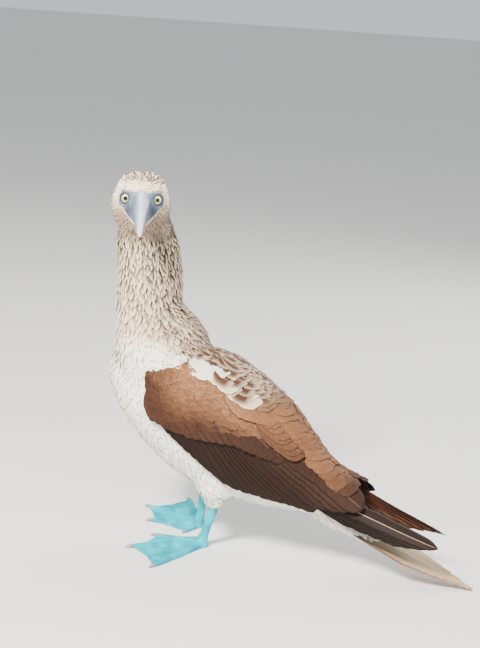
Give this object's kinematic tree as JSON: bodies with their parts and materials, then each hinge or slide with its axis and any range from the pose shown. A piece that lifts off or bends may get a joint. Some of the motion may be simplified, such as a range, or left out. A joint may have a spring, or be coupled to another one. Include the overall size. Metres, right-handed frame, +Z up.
{
  "type": "blue-footed booby",
  "caption": "A still, life-size blue-footed booby standing on flat webbed feet, wings folded, head turned to its left, with its tail tip on the floor.",
  "frame": {"origin": "on the floor under the middle of the bounding box", "axes": "+X runs from the breast to the tail, +Z is up, and the bird's left side faces -Y"},
  "size_m": [0.4812, 0.2552, 0.4486],
  "materials": {
    "bill": "smooth blue-grey horn",
    "blue_skin": "bright turquoise scaled skin",
    "claws": "pinkish grey horn",
    "eyes": "wet, pale yellow iris with a round black pupil",
    "head_feathers": "pale feathers with brown streaks",
    "neck_feathers": "pale feathers with taupe streaks",
    "tail_feathers": "buff vanes with pale shafts",
    "white_feathers": "soft white feathers",
    "wing_feathers": "dark brown vanes"
  },
  "bodies": {
    "root": {"bill_lower": "bill", "bill_upper": "bill", "claw_left_1": "claws", "claw_left_2": "claws", "claw_left_3": "claws", "claw_left_4": "claws", "claw_right_1": "claws", "claw_right_2": "claws", "claw_right_3": "claws", "claw_right_4": "claws", "eye_left": "eyes", "eye_right": "eyes", "foot_left": "blue_skin", "foot_right": "blue_skin", "head": "head_feathers", "neck": "neck_feathers", "tail": "tail_feathers", "tarsus_left": "blue_skin", "tarsus_right": "blue_skin", "thigh_left": "white_feathers", "thigh_right": "white_feathers", "torso": "white_feathers", "wing_left": "wing_feathers", "wing_right": "wing_feathers"}
  },
  "joints": []
}
